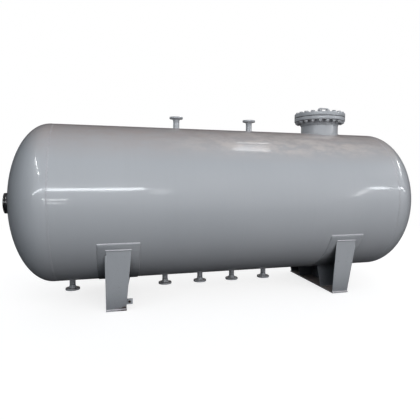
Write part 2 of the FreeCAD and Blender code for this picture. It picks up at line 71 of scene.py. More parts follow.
class Shade:
    """One material's node tree. node() adds a node, fills its inputs and returns one of its outputs."""

    def __init__(self, name):
        self.material = bpy.data.materials.new(name)
        self.material.use_nodes = True
        self.tree = self.material.node_tree
        self.tree.nodes.clear()

    def node(self, kind, inputs=None, output=0, **settings):
        made = self.tree.nodes.new(kind)
        for key, value in settings.items():
            setattr(made, key, value)
        for key, value in (inputs or {}).items():
            self.fill(made.inputs[key], value)
        return made.outputs[output]

    def fill(self, socket, value):
        if isinstance(value, bpy.types.NodeSocket):
            self.tree.links.new(value, socket)
        else:
            socket.default_value = value

    def math(self, operation, a, b=0.0):
        return self.node("ShaderNodeMath", {0: a, 1: b}, operation=operation)

    def times(self, *values):
        product = values[0]
        for value in values[1:]:
            product = self.math("MULTIPLY", product, value)
        return product

    def place(self, stretch=(1, 1, 1)):
        """The point being shaded, in metres in the row frame, stretched along each axis."""
        point = self.node("ShaderNodeTexCoord", output="Object")
        return self.node("ShaderNodeMapping", {"Vector": point, "Scale": stretch})

    def noise(self, scale, detail=3.0, rough=0.55, stretch=(1, 1, 1)):
        """Noise with about scale lumps to the metre."""
        return self.node("ShaderNodeTexNoise", {
            "Vector": self.place(stretch), "Scale": scale, "Detail": detail, "Roughness": rough})

    def ramp(self, value, low, high, to_low=0.0, to_high=1.0):
        """value taken from low..high to to_low..to_high, and held at both ends."""
        return self.node("ShaderNodeMapRange", {
            "Value": value, "From Min": low, "From Max": high, "To Min": to_low, "To Max": to_high})

    def blend(self, factor, a, b):
        """The colour a, going over to b as factor goes from 0 to 1."""
        mix = self.tree.nodes.new("ShaderNodeMix")
        mix.data_type = "RGBA"
        self.fill(mix.inputs[0], factor)
        self.fill(mix.inputs[6], a)
        self.fill(mix.inputs[7], b)
        return mix.outputs[2]

    def facing_up(self):
        normal = self.node("ShaderNodeNewGeometry", output="Normal")
        return self.node("ShaderNodeSeparateXYZ", {"Vector": normal}, output="Z")

    def near(self, centre, reach):
        """1 at centre, falling to 0 at reach, which gives the distance along each axis."""
        away = self.node("ShaderNodeVectorMath", {0: self.place(), 1: centre}, operation="SUBTRACT")
        scaled = self.node("ShaderNodeVectorMath", {0: away, 1: reach}, operation="DIVIDE")
        distance = self.node("ShaderNodeVectorMath", {0: scaled}, output="Value", operation="LENGTH")
        return self.ramp(distance, 0.35, 1.0, 1.0, 0.0)

    def bump(self, height, distance, strength, normal=None):
        inputs = {"Height": height, "Distance": distance, "Strength": strength}
        if normal is not None:
            inputs["Normal"] = normal
        return self.node("ShaderNodeBump", inputs)

    def finish(self, **inputs):
        """The Principled shader with these inputs. Returns the finished material."""
        shader = self.node("ShaderNodeBsdfPrincipled", {
            key.replace("_", " "): value for key, value in inputs.items()})
        out = self.tree.nodes.new("ShaderNodeOutputMaterial")
        self.tree.links.new(shader, out.inputs["Surface"])
        return self.material


GREY = (0.400, 0.422, 0.446, 1)
GREY_LIGHT = (0.420, 0.441, 0.464, 1)
GREY_SHADOW = (0.365, 0.383, 0.405, 1)
# painted shade: the near-black that occluded places are darkened towards
PAINTED_SHADE = (0.060, 0.066, 0.078, 1)
DUST = (0.425, 0.350, 0.325, 1)
SMEAR = (0.590, 0.548, 0.515, 1)
RUST = (0.050, 0.036, 0.032, 1)
PRIMER = (0.120, 0.070, 0.058, 1)
# painted highlight: the paler grey that weld beads are lightened towards, most on their upper side
HIGHLIGHT_GREY = (0.68, 0.67, 0.71, 1)
TURNED_STEEL = (0.40, 0.38, 0.35, 1)
RUST_FILM = (0.205, 0.125, 0.080, 1)
NUT_GRIME = (0.20, 0.19, 0.185, 1)
ZINC = (0.50, 0.50, 0.49, 1)
BLACK = (0.010, 0.010, 0.012, 1)
BLACK_FADED = (0.020, 0.020, 0.022, 1)
BLACK_DUST = (0.12, 0.11, 0.10, 1)
BLACK_CHIP = (0.16, 0.13, 0.11, 1)
OILED_STEEL = (0.020, 0.019, 0.020, 1)
RUSTY_STEEL = (0.060, 0.032, 0.020, 1)
FILLER = (0.035, 0.034, 0.033, 1)
WOUND_STEEL = (0.30, 0.29, 0.28, 1)
GASKET_RUST = (0.12, 0.07, 0.045, 1)

WELD_RIPPLE, WELD_BOW = 0.0035, 0.0045  # from ripple to ripple, and how far their ends trail, in metres
WINDING = 0.0008  # from ring to ring of the gasket's edge, in metres
FACE_SHARE = 0.63  # a nozzle flange's sealing face over its whole width
FACE_GROOVES = 640.0  # what the grooves would turn through from a flange's axis to its rim, in radians


def dusty(s, tone, amount):
    """Settled dust: on what faces up, in wiped patches. Returns the colour and how much lies there."""
    wiped = s.ramp(s.noise(7.0, 6.0, 0.65, (0.6, 1.3, 1.3)), 0.36, 0.62, 0.6, 1.0)
    lying = s.times(s.ramp(s.facing_up(), 0.50, 0.97), wiped, amount)
    return s.blend(lying, tone, DUST), lying


def sheen(s, scale, detail, low, high, lying, dulled):
    """Roughness that drifts from low to high, and is up to dulled more where dust lies."""
    return s.math("ADD", s.ramp(s.noise(scale, detail), 0.35, 0.65, low, high), s.times(lying, dulled))


def paint_tone(s):
    """The grey top coat: a slow drift in shade, and faint run marks down the sides."""
    drift = s.ramp(s.noise(0.7, 2.0), 0.38, 0.62)
    tone = s.blend(drift, GREY, GREY_LIGHT)
    runs = s.ramp(s.noise(1.0, 4.0, 0.6, (14.0, 0.8, 0.8)), 0.52, 0.75, 0.0, 0.16)
    return s.blend(runs, tone, GREY_SHADOW)


def smears(s, colour):
    """Pale streaks of dried splashes on the shoulder round the manway, below the settled dust."""
    band = s.times(s.ramp(s.facing_up(), 0.55, 0.72), s.ramp(s.facing_up(), 0.93, 0.99, 1.0, 0.0))
    patch = s.near((0.8, -0.55, AXIS + 0.72), (1.9, 0.6, 0.45))
    streaked = s.ramp(s.noise(8.0, 7.0, 0.66, (0.6, 1.2, 1.2)), 0.42, 0.62)
    return s.blend(s.times(band, patch, streaked, 0.75), colour, SMEAR)


def grey_gloss(name, lumps_per_metre, wave):
    """Gloss enamel on the rolled plates and heads: spray peel, and the slow waves of formed plate."""
    s = Shade(name)
    colour, lying = dusty(s, paint_tone(s), 0.8)
    specks = s.ramp(s.noise(55.0, 1.0), 0.74, 0.80, 0.0, 0.35)
    colour = s.blend(specks, colour, GREY_SHADOW)
    colour = smears(s, colour)
    rough = sheen(s, 2.5, 4.0, 0.30, 0.38, lying, 0.30)
    waves = s.bump(s.noise(lumps_per_metre, 1.0), wave, 0.30)
    peel = s.bump(s.noise(210.0, 2.0), 0.00025, 0.30, waves)
    return s.finish(Base_Color=colour, Roughness=rough, Normal=peel, Coat_Weight=0.75,
                    Coat_Roughness=0.08, Coat_Normal=waves)


def shade_where_occluded(s, tone, reach):
    """Painted shade: the colour goes over to near-black where other plates within reach metres occlude
    it.
    """
    open_air = s.node("ShaderNodeAmbientOcclusion", {"Distance": reach}, "AO", samples=8)
    return s.blend(s.ramp(open_air, 0.12, 0.62), PAINTED_SHADE, tone)


def worn_grey(name, rust_places, shade_reach, chips=0.5):
    """The same enamel on cut plates and fittings: chipped along the edges, with painted shade where
    other parts occlude it.

    rust_places lists rusty places as (centre, reach), shade_reach is the reach of the painted shade in
    metres, and chips how much of the primer shows.
    """
    s = Shade(name)
    # painted shade where other parts occlude the plate
    tone = shade_where_occluded(s, paint_tone(s), shade_reach)
    colour, lying = dusty(s, tone, 0.7)
    rounded = s.node("ShaderNodeBevel", {"Radius": 0.005}, samples=6)
    flat = s.node("ShaderNodeNewGeometry", output="True Normal")
    level = s.node("ShaderNodeVectorMath", {0: rounded, 1: flat}, "Value", operation="DOT_PRODUCT")
    edge = s.ramp(level, 0.80, 0.985, 1.0, 0.0)
    chipped = s.times(edge, s.ramp(s.noise(38.0, 5.0, 0.7), 0.60, 0.68), chips)
    colour = s.blend(chipped, colour, PRIMER)
    rusty = chipped
    for centre, reach in rust_places:
        eaten = s.ramp(s.noise(60.0, 6.0, 0.7), 0.3, 0.7, -0.9, 0.3)
        spot = s.ramp(s.math("ADD", s.near(centre, reach), eaten), 0.05, 0.45)
        around = s.near(centre, [1.7 * r for r in reach])
        stain = s.times(around, s.ramp(s.noise(24.0, 5.0), 0.4, 0.6), 0.4)
        colour = s.blend(stain, colour, PRIMER)
        colour = s.blend(spot, colour, RUST)
        rusty = s.math("MAXIMUM", rusty, spot)
    rough = s.math("ADD", sheen(s, 9.0, 4.0, 0.32, 0.44, lying, 0.25), s.times(rusty, 0.35))
    coat = s.ramp(rusty, 0.0, 0.6, 0.5, 0.0)
    brushed = s.bump(s.noise(120.0, 3.0), 0.0004, 0.35)
    pitted = s.bump(s.times(rusty, s.noise(260.0, 4.0)), 0.0012, 0.6, brushed)
    return s.finish(Base_Color=colour, Roughness=rough, Normal=pitted, Coat_Weight=coat,
                    Coat_Roughness=0.11)


def flange_paint():
    """Painted forging with a bare, ring-turned sealing face round its bore."""
    s = Shade("grey_gloss_and_turned_face")
    tone, lying = dusty(s, paint_tone(s), 0.7)
    # share: how far out from the flange's axis, over its outer radius
    boxed = s.node("ShaderNodeTexCoord", output="Generated")
    across = s.node("ShaderNodeVectorMath", {0: boxed, 1: (0.5, 0.5, 0)}, operation="SUBTRACT")
    flat = s.node("ShaderNodeVectorMath", {0: across, 1: (2, 2, 0)}, operation="MULTIPLY")
    share = s.node("ShaderNodeVectorMath", {0: flat}, output="Value", operation="LENGTH")
    level = s.ramp(s.math("ABSOLUTE", s.facing_up()), 0.90, 0.97)
    bare = s.times(level, s.ramp(share, FACE_SHARE - 0.005, FACE_SHARE + 0.005, 1.0, 0.0))
    film = s.ramp(s.noise(26.0, 5.0, 0.65), 0.42, 0.66)
    steel = s.blend(film, TURNED_STEEL, RUST_FILM)
    colour = s.blend(bare, tone, steel)
    rough = sheen(s, 9.0, 4.0, 0.30, 0.42, lying, 0.25)
    grooves = s.times(bare, s.math("SINE", s.math("MULTIPLY", share, FACE_GROOVES)))
    peel = s.bump(s.noise(170.0, 2.0), 0.0003, 0.3)
    turned = s.bump(grooves, 0.0003, 0.5, peel)
    return s.finish(Base_Color=colour, Roughness=rough, Normal=turned,
                    Metallic=s.times(bare, s.ramp(film, 0.0, 1.0, 0.85, 0.25)),
                    Coat_Weight=s.ramp(bare, 0.0, 1.0, 0.6, 0.0), Coat_Roughness=0.09)


def painted_weld(name, highlight_amount, shade_reach):
    """Enamel over a weld bead, whose ripples are arcs across its run.

    highlight_amount is how much of the painted highlight, a paler grey strongest on the bead's upper
    side, shows, and shade_reach the reach of its painted shade in metres.
    """
    s = Shade(name)
    # painted highlight: a paler grey on the bead, strongest where it faces up
    brushed = s.times(s.ramp(s.noise(16.0, 4.0), 0.30, 0.60, 0.6, 1.0),
                      s.ramp(s.facing_up(), -0.10, 0.30, 0.2, 1.0), highlight_amount)
    highlighted = s.blend(brushed, paint_tone(s), HIGHLIGHT_GREY)
    # painted shade where other parts occlude the bead
    colour, lying = dusty(s, shade_where_occluded(s, highlighted, shade_reach), 0.6)
    run = s.node("ShaderNodeUVMap", uv_map="run")
    spot = s.node("ShaderNodeSeparateXYZ", {"Vector": run}, output="X")
    side = s.node("ShaderNodeSeparateXYZ", {"Vector": run}, output="Y")
    bow = s.math("ADD", spot, s.times(side, side, -WELD_BOW))
    wander = s.math("ADD", bow, s.ramp(s.noise(60.0, 2.0), 0.3, 0.7, -0.0006, 0.0006))
    ripple = s.math("SINE", s.math("MULTIPLY", wander, 2 * math.pi / WELD_RIPPLE))
    pores = s.ramp(s.noise(330.0, 2.0), 0.68, 0.74, 0.0, -1.5)
    shape = s.bump(s.math("ADD", ripple, pores), 0.0007, 0.7)
    rough = sheen(s, 30.0, 3.0, 0.30, 0.42, lying, 0.25)
    return s.finish(Base_Color=colour, Roughness=rough, Normal=shape, Coat_Weight=0.6,
                    Coat_Roughness=0.12)


def nut_paint():
    """Thinner paint on nuts and studs: bare zinc shows on the corners and the thread tips."""
    s = Shade("grey_gloss_on_bolting")
    colour, lying = dusty(s, paint_tone(s), 0.6)
    grime = s.ramp(s.noise(70.0, 5.0, 0.7), 0.48, 0.62, 0.0, 0.55)
    colour = s.blend(grime, colour, NUT_GRIME)
    rubbed = s.ramp(s.noise(110.0, 3.0), 0.58, 0.66)
    colour = s.blend(s.times(rubbed, 0.5), colour, ZINC)
    rough = sheen(s, 90.0, 4.0, 0.28, 0.48, lying, 0.2)
    return s.finish(Base_Color=colour, Roughness=rough, Metallic=s.times(rubbed, 0.6),
                    Normal=s.bump(s.noise(240.0, 3.0), 0.0004, 0.4), Coat_Weight=0.35,
                    Coat_Roughness=0.15)


def black_gloss():
    """Black enamel of the gauge fitting, with fine dust and a few chips."""
    s = Shade("black_gloss")
    cloud = s.ramp(s.noise(30.0, 4.0), 0.35, 0.65)
    tone = s.blend(cloud, BLACK, BLACK_FADED)
    dust = s.times(s.ramp(s.facing_up(), 0.2, 0.95), s.ramp(s.noise(40.0, 5.0), 0.35, 0.65, 0.1, 0.5))
    colour = s.blend(dust, tone, BLACK_DUST)
    chips = s.ramp(s.noise(75.0, 5.0, 0.7), 0.72, 0.76, 0.0, 0.8)
    colour = s.blend(chips, colour, BLACK_CHIP)
    rough = s.ramp(s.noise(22.0, 4.0), 0.35, 0.65, 0.18, 0.30)
    return s.finish(Base_Color=colour, Roughness=rough, Normal=s.bump(s.noise(190.0, 2.0), 0.0003, 0.4),
                    Coat_Weight=0.7, Coat_Roughness=0.08)


def dark_steel():
    """Oiled and rusty steel of a small bolt."""
    s = Shade("dark_rusty_steel")
    film = s.ramp(s.noise(160.0, 5.0, 0.65), 0.40, 0.62)
    colour = s.blend(film, OILED_STEEL, RUSTY_STEEL)
    return s.finish(Base_Color=colour, Metallic=s.ramp(film, 0.0, 1.0, 0.6, 0.1),
                    Roughness=s.ramp(film, 0.0, 1.0, 0.38, 0.75), Normal=s.bump(film, 0.0004, 0.6))


def gasket_steel():
    """The edge of a spiral-wound gasket: thin steel rings with dark filler between them."""
    s = Shade("gasket_wound_steel")
    height = s.node("ShaderNodeSeparateXYZ", {"Vector": s.place()}, output="Z")
    rings = s.math("SINE", s.math("MULTIPLY", height, 2 * math.pi / WINDING))
    colour = s.blend(s.ramp(rings, -0.4, 0.4), FILLER, WOUND_STEEL)
    colour = s.blend(s.ramp(s.noise(24.0, 4.0), 0.5, 0.7), colour, GASKET_RUST)
    rough = s.ramp(s.noise(50.0), 0.3, 0.7, 0.35, 0.6)
    return s.finish(Base_Color=colour, Metallic=0.7, Roughness=rough, Normal=s.bump(rings, 0.0002, 0.5))


# ---------------------------------------------------------------- mesh building

def new_shape():
    """An empty mesh with the UV map that skin() fills."""
    shape = bmesh.new()
    shape.loops.layers.uv.new("run")
    return shape


def skin(shape, rows, across=None, loop=False):
    """Joins rows of points, each row a closed outline, into a bead or tube; loop joins the two ends.

    The UV map takes the metres along it and, from across, each point's place from -1 to 1 across it.
    """
    uv = shape.loops.layers.uv.active
    count = len(rows[0])
    across = across or [0.0] * count
    made = [[shape.verts.new(point) for point in row] for row in rows]
    run = [0.0]
    for number in range(len(rows) - 1 + loop):
        following = (number + 1) % len(rows)
        run.append(run[-1] + (rows[following][0] - rows[number][0]).length)
        here, there = made[number], made[following]
        for side in range(count):
            after = (side + 1) % count
            face = shape.faces.new((here[side], here[after], there[after], there[side]))
            spots = ((run[number], across[side]), (run[number], across[after]),
                     (run[number + 1], across[after]), (run[number + 1], across[side]))
            for corner, spot in zip(face.loops, spots):
                corner[uv].uv = spot
    if not loop:
        shape.faces.new(made[0])
        shape.faces.new(made[-1])


def piece(name, shape, material, sharp=38):
    """Turns a finished shape into a piece that rides on the tank."""
    bmesh.ops.recalc_face_normals(shape, faces=shape.faces)
    mesh = bpy.data.meshes.new(name)
    shape.to_mesh(mesh)
    shape.free()
    mesh.polygons.foreach_set("use_smooth", [True] * len(mesh.polygons))
    mesh.set_sharp_from_angle(angle=math.radians(sharp))
    mesh.materials.append(material)
    made = bpy.data.objects.new(name, mesh)
    bpy.context.scene.collection.objects.link(made)
    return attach(made, "root")


def lumps(point, size=0.012):
    """A repeatable unevenness of about -1..1, with lumps of about size metres."""
    return noise.noise(point / size) * 1.6


# A crown's outline runs from edge to edge by these shares of its half width. It is uneven by a share of
# its height, sunk into the surface, and its flat root lies under the surface, both in metres.
CROWN = (-1.0, -0.8, -0.45, 0.0, 0.45, 0.8, 1.0)
CROWN_ACROSS = list(CROWN) + [1.0, -1.0]
CROWN_UNEVEN, CROWN_SUNK, CROWN_ROOT = 0.12, 0.0003, 0.003
# A fillet's outline runs from toe to toe by these shares of the way, the toes sunk by metres. How far
# its belly swells and how deep its root lies are given in legs.
FILLET = (0.0, 0.12, 0.3, 0.5, 0.7, 0.88, 1.0)
FILLET_ACROSS = [2 * t - 1 for t in FILLET] + [0.0]
FILLET_SUNK, FILLET_BELLY, FILLET_ROOT = 0.0005, 0.55, 0.25
OTHER_LEG = Vector((3, 5, 7))  # far enough away for the second leg's lumps to differ from the first's
BEAD_STEP = 0.010


def crown_row(point, across, out, width, height):
    """One outline of a flat-bottomed bead lying on a surface: across and out are unit vectors."""
    side = width / 2
    lift = height * (1 + CROWN_UNEVEN * lumps(point))
    row = [point + across * (side * u) + out * (lift * (1 - u * u) - CROWN_SUNK) for u in CROWN]
    root = point - out * CROWN_ROOT
    return row + [root + across * side, root - across * side]


def fillet_row(corner, along_a, along_b, leg, uneven=0.14):
    """One outline of a fillet weld in a corner between two surfaces, leg metres along each."""
    grown = leg * (1 + uneven * lumps(corner))
    a = corner + along_a * grown
    b = corner + along_b * grown * (1 + uneven * lumps(corner + OTHER_LEG))
    out = (along_a + along_b).normalized()
    row = [a.lerp(b, t) + out * (grown * FILLET_BELLY * t * (1 - t)) for t in FILLET]
    row[0] -= along_b * FILLET_SUNK
    row[-1] -= along_a * FILLET_SUNK
    return row + [corner - (along_a + along_b) * (leg * FILLET_ROOT)]


def steps(start, end):
    """Evenly spaced points from start to end, both included."""
    count = max(2, round((end - start).length / BEAD_STEP))
    return [start.lerp(end, number / count) for number in range(count + 1)]


def straight_fillet(shape, start, end, along_a, along_b, leg=0.006):
    skin(shape, [fillet_row(p, along_a, along_b, leg) for p in steps(start, end)], FILLET_ACROSS)


def straight_crown(shape, start, end, across, out, width, height):
    skin(shape, [crown_row(p, across, out, width, height) for p in steps(start, end)], CROWN_ACROSS)


def turns(count):
    """That many angles, evenly round a circle, in radians."""
    return [2 * math.pi * number / count for number in range(count)]


def spokes(axis, count):
    """Unit vectors that point out from axis, evenly round it."""
    first = axis.orthogonal().normalized()
    second = axis.cross(first)
    return [first * math.cos(angle) + second * math.sin(angle) for angle in turns(count)]


def ring_crown(shape, centre, axis, radius, width, height, count):
    """A butt weld round a pipe or shell whose axis is a unit vector."""
    rows = [crown_row(centre + out * radius, axis, out, width, height) for out in spokes(axis, count)]
    skin(shape, rows, CROWN_ACROSS, loop=True)


def ring_fillet(shape, centre, axis, radius, leg, count):
    """A fillet round a rod or pipe that stands on a flat face; axis points away from the face."""
    rows = [fillet_row(centre + out * radius, axis, out, leg) for out in spokes(axis, count)]
    skin(shape, rows, FILLET_ACROSS, loop=True)


def on_shell(x, y, up):
    """The point of the shell's outside above or below (x, y)."""
    return Vector((x, y, AXIS + up * math.sqrt(RADIUS ** 2 - y ** 2)))


def branch_fillet(shape, x, radius, up, leg, count):
    """The fillet where an upright pipe of that radius leaves the shell."""
    rows = []
    for angle in turns(count):
        cos, sin = math.cos(angle), math.sin(angle)
        corner = on_shell(x + radius * cos, radius * sin, up)
        toe = on_shell(x + (radius + leg) * cos, (radius + leg) * sin, up)
        rows.append(fillet_row(corner, Vector((0, 0, up)), (toe - corner).normalized(), leg))
    skin(shape, rows, FILLET_ACROSS, loop=True)


# ---------------------------------------------------------------- bolting

RING_POINTS = 48
CHAMFER = 0.475  # radius of the round face that a chamfer leaves, over the width across the flats


def turned(axis):
    """The rotation that takes +Z to axis."""
    return UP.rotation_difference(axis).to_matrix()


def ring_places(centre, axis, radius, count):
    """Bolt places that straddle the centre lines, as the flanges' holes do."""
    first, second = (ALONG, -FRONT) if abs(axis.z) > 0.5 else (-FRONT, UP)
    half = math.pi / count
    return [centre + first * (radius * math.cos(a + half)) + second * (radius * math.sin(a + half))
            for a in turns(count)]


def hexagon(angle, flats):
    """How far a hexagon's outline is from its middle in that direction."""
    return flats / 2 / math.cos((angle % (math.pi / 3)) - math.pi / 6)


def chamfered(angle, flats):
    """How far a 30 degree chamfer has cut a hexagon's face back at that angle."""
    return max(0.0, hexagon(angle, flats) - flats * CHAMFER) * math.tan(math.radians(30))


def stack_rings(shape, seat, axis, turn, rings, capped):
    """Joins rings of points round axis, each given by a radius and a height at every angle."""
    level = turned(axis)
    made = []
    for radius_at, height_at in rings:
        made.append([shape.verts.new(seat + level @ Vector((
            radius_at(a) * math.cos(a + turn), radius_at(a) * math.sin(a + turn), height_at(a))))
            for a in turns(RING_POINTS)])
    pairs = list(zip(made, made[1:]))
    if capped:
        shape.faces.new(made[0])
        shape.faces.new(made[-1])
    else:
        pairs.append((made[-1], made[0]))
    for here, there in pairs:
        for side in range(RING_POINTS):
            after = (side + 1) % RING_POINTS
            shape.faces.new((here[side], here[after], there[after], there[side]))


def hex_nut(shape, seat, axis, flats, thick, bore, turn):
    """A hexagon nut sitting on seat, chamfered on both sides; turn is how far it was left turned."""
    lip = bore * 0.06
    stack_rings(shape, seat, axis, turn, (
        (lambda a: bore, lambda a: 2 * lip),
        (lambda a: bore + lip, lambda a: 0.0),
        (lambda a: flats * CHAMFER, lambda a: 0.0),
        (lambda a: hexagon(a, flats), lambda a: chamfered(a, flats)),
        (lambda a: hexagon(a, flats), lambda a: thick - chamfered(a, flats)),
        (lambda a: flats * CHAMFER, lambda a: thick),
        (lambda a: bore + lip, lambda a: thick),
        (lambda a: bore, lambda a: thick - 2 * lip)), capped=False)


def hex_head(shape, seat, axis, flats, thick, turn):
    """A bolt's hexagon head on its washer face, chamfered on top with a shallow dish in the middle."""
    face, dish = 0.0006, 0.0008
    stack_rings(shape, seat, axis, turn, (
        (lambda a: flats * CHAMFER, lambda a: 0.0),
        (lambda a: flats * CHAMFER, lambda a: face),
        (lambda a: hexagon(a, flats), lambda a: face),
        (lambda a: hexagon(a, flats), lambda a: thick - chamfered(a, flats)),
        (lambda a: flats * CHAMFER, lambda a: thick),
        (lambda a: flats * 0.30, lambda a: thick),
        (lambda a: flats * 0.26, lambda a: thick - dish)), capped=True)


def shank(shape, start, end, radius, pitch, thread):
    """A bolt's shank from start to end; its last stretch, thread metres long, is cut with a thread."""
    segments = 20
    axis = (end - start).normalized()
    level = turned(axis)
    length = (end - start).length
    quarters = int((thread - pitch) / pitch) * 4
    first = length - pitch - quarters * pitch / 4
    depth = pitch * 0.55
    tip = depth * 1.1
    cuts = [(0.0, 0.0, 0.0), (first - pitch, 0.0, 0.0)]
    groove = (0.0, 0.5, 1.0, 0.5)
    cuts += [(first + n * pitch / 4, pitch, depth * groove[n % 4]) for n in range(quarters + 1)]
    cuts.append((length, 0.0, tip))
    rows = []
    for height, lead, inset in cuts:
        row = []
        for number, angle in enumerate(turns(segments)):
            out = level @ Vector((math.cos(angle), math.sin(angle), 0))
            climb = height + lead * (number / segments - 0.5)
            row.append(start + out * (radius - inset) + axis * climb)
        rows.append(row)
    skin(shape, rows)


def head_turn(number):
    """How far the numbered bolt's head was left turned."""
    return 0.9 + 1.7 * number


def bolt_up(name, places, axis, low, high, size, material):
    """Hexagon bolts of that size at those places: heads at high along axis, nuts at low."""
    radius, pitch, flats, head, thick = size
    bolts, nuts = new_shape(), new_shape()
    for number, place in enumerate(places):
        seat, far = place + axis * high, place + axis * low
        spare = pitch * (2.6 + 0.7 * lumps(place, 0.05))
        hex_head(bolts, seat, axis, flats, head, head_turn(number))
        shank(bolts, seat, far - axis * (thick + spare), radius, pitch, thick + 4 * pitch)
        hex_nut(nuts, far, -axis, flats, thick, radius * 0.98, 2.3 + 1.1 * number)
    piece(f"{name}_bolts", bolts, material, 30)
    piece(f"{name}_nuts", nuts, material, 25)


# ---------------------------------------------------------------- the pieces

def shell_welds(material, plate):
    """The girth seams round the vessel, and the straight seam of each course, high on the back.

    The girth seams were ground nearly flush. The middle one is painted like the plate beside it.
    """
    for name, x, height, look in (("left_head", LEFT_SHELL[0].x, 0.00045, material),
                                  ("middle", LEFT_SHELL[1].x, 0.00040, plate),
                                  ("right_head", RIGHT_SHELL[1].x, 0.00045, material)):
        shape = new_shape()
        ring_crown(shape, Vector((x, 0, AXIS)), ALONG, RADIUS, width=0.026, height=height, count=540)
        piece(f"girth_seam_{name}", shape, look)
    gap = 0.004  # from a straight seam's end to the middle of the girth seam there
    for name, span, angle in (("left", LEFT_SHELL, 52), ("right", RIGHT_SHELL, 38)):
        out = Vector((0, math.cos(math.radians(angle)), math.sin(math.radians(angle))))
        base = Vector((0, 0, AXIS)) + out * RADIUS
        shape = new_shape()
        straight_crown(shape, base + ALONG * (span[0].x + gap), base + ALONG * (span[1].x - gap),
                       ALONG.cross(out), out, width=0.018, height=0.0016)
        piece(f"long_seam_{name}", shape, material)


def nozzle_welds(material):
    """Each small nozzle's fillet on the shell and the butt weld under its flange."""
    for name in sorted(n[:-5] for n in NODES if "nozzle" in n and n.endswith("_pipe")):
        up = 1 if name.startswith("top") else -1
        low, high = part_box(f"{name}_pipe")
        x, radius = (low.x + high.x) / 2, (high.x - low.x) / 2
        shape = new_shape()
        branch_fillet(shape, x, radius, up, leg=0.009, count=56)
        joint = high.z if up > 0 else low.z
        ring_crown(shape, Vector((x, 0, joint)), UP, radius, width=0.009, height=0.0016, count=48)
        piece(f"{name}_welds", shape, material)


def manway_welds(material):
    """The fillet round the manway's neck, the butt weld under its flange and the handle's two feet."""
    low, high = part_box("manway_neck")
    x, radius = (low.x + high.x) / 2, (high.x - low.x) / 2
    shape = new_shape()
    branch_fillet(shape, x, radius, up=1, leg=0.011, count=200)
    ring_crown(shape, Vector((x, 0, high.z)), UP, radius, width=0.014, height=0.0022, count=180)
    low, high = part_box("manway_handle")
    rod = (high.y - low.y) / 2
    for foot in (low.x + rod, high.x - rod):
        ring_fillet(shape, Vector((foot, low.y + rod, low.z)), UP, rod, leg=0.005, count=28)
    piece("manway_welds", shape, material)


def gauge_weld(material):
    """The fillet where the gauge connection's pipe leaves the left head."""
    low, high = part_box("gauge_pipe")
    radius = (high.y - low.y) / 2
    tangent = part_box("head_left")[0].x + HEAD_DEPTH

    def head_x(r):
        return tangent - HEAD_DEPTH * math.sqrt(1 - (r / RADIUS) ** 2)

    leg, count = 0.006, 90
    rows = []
    for angle in turns(count):
        out = Vector((0, math.cos(angle), math.sin(angle)))
        corner = Vector((head_x(radius), 0, AXIS)) + out * radius
        toe = Vector((head_x(radius + leg), 0, AXIS)) + out * (radius + leg)
        rows.append(fillet_row(corner, -ALONG, (toe - corner).normalized(), leg))
    shape = new_shape()
    skin(shape, rows, FILLET_ACROSS, loop=True)
    piece("gauge_pipe_weld", shape, material)


def wear_plate_weld(side, material):
    """The fillet all round a wear plate, which covers the plate's edge."""
    low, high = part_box(f"{side}_saddle_wear_plate")
    half, wrap = (high.x - low.x) / 2, math.asin(high.y / SADDLE_RADIUS)
    middle = (high.x + low.x) / 2

    def around(x, angle, radius):
        return Vector((x, radius * math.sin(angle), AXIS - radius * math.cos(angle)))

    route = []  # points of the plate's edge with the outward direction as (along X, round the shell)
    arc, end = round(2 * wrap * RADIUS / BEAD_STEP), 43  # steps along its curved edges and its two ends
    for number in range(arc + 1):
        route.append((middle + half, -wrap + 2 * wrap * number / arc, (1, 0)))
    for number in range(end + 1):
        route.append((middle + half - 2 * half * number / end, wrap, (0, 1)))
    for number in range(arc + 1):
        route.append((middle - half, wrap - 2 * wrap * number / arc, (-1, 0)))
    for number in range(end + 1):
        route.append((middle - half + 2 * half * number / end, -wrap, (0, -1)))
    arc_spread, end_spread = 0.9, 1.6  # how far the bead spreads over the shell, in legs
    rows = []
    for x, angle, (out_x, out_round) in route:
        corner = around(x, angle, RADIUS)
        up = (around(x, angle, SADDLE_RADIUS) - corner).normalized()
        outward = Vector((out_x, out_round * math.cos(angle), out_round * math.sin(angle)))
        spread = end_spread if out_round else arc_spread
        rows.append(fillet_row(corner, up, outward.normalized() * spread, leg=0.009, uneven=0.08))
    shape = new_shape()
    skin(shape, rows, FILLET_ACROSS, loop=True)
    piece(f"{side}_wear_plate_weld", shape, material)


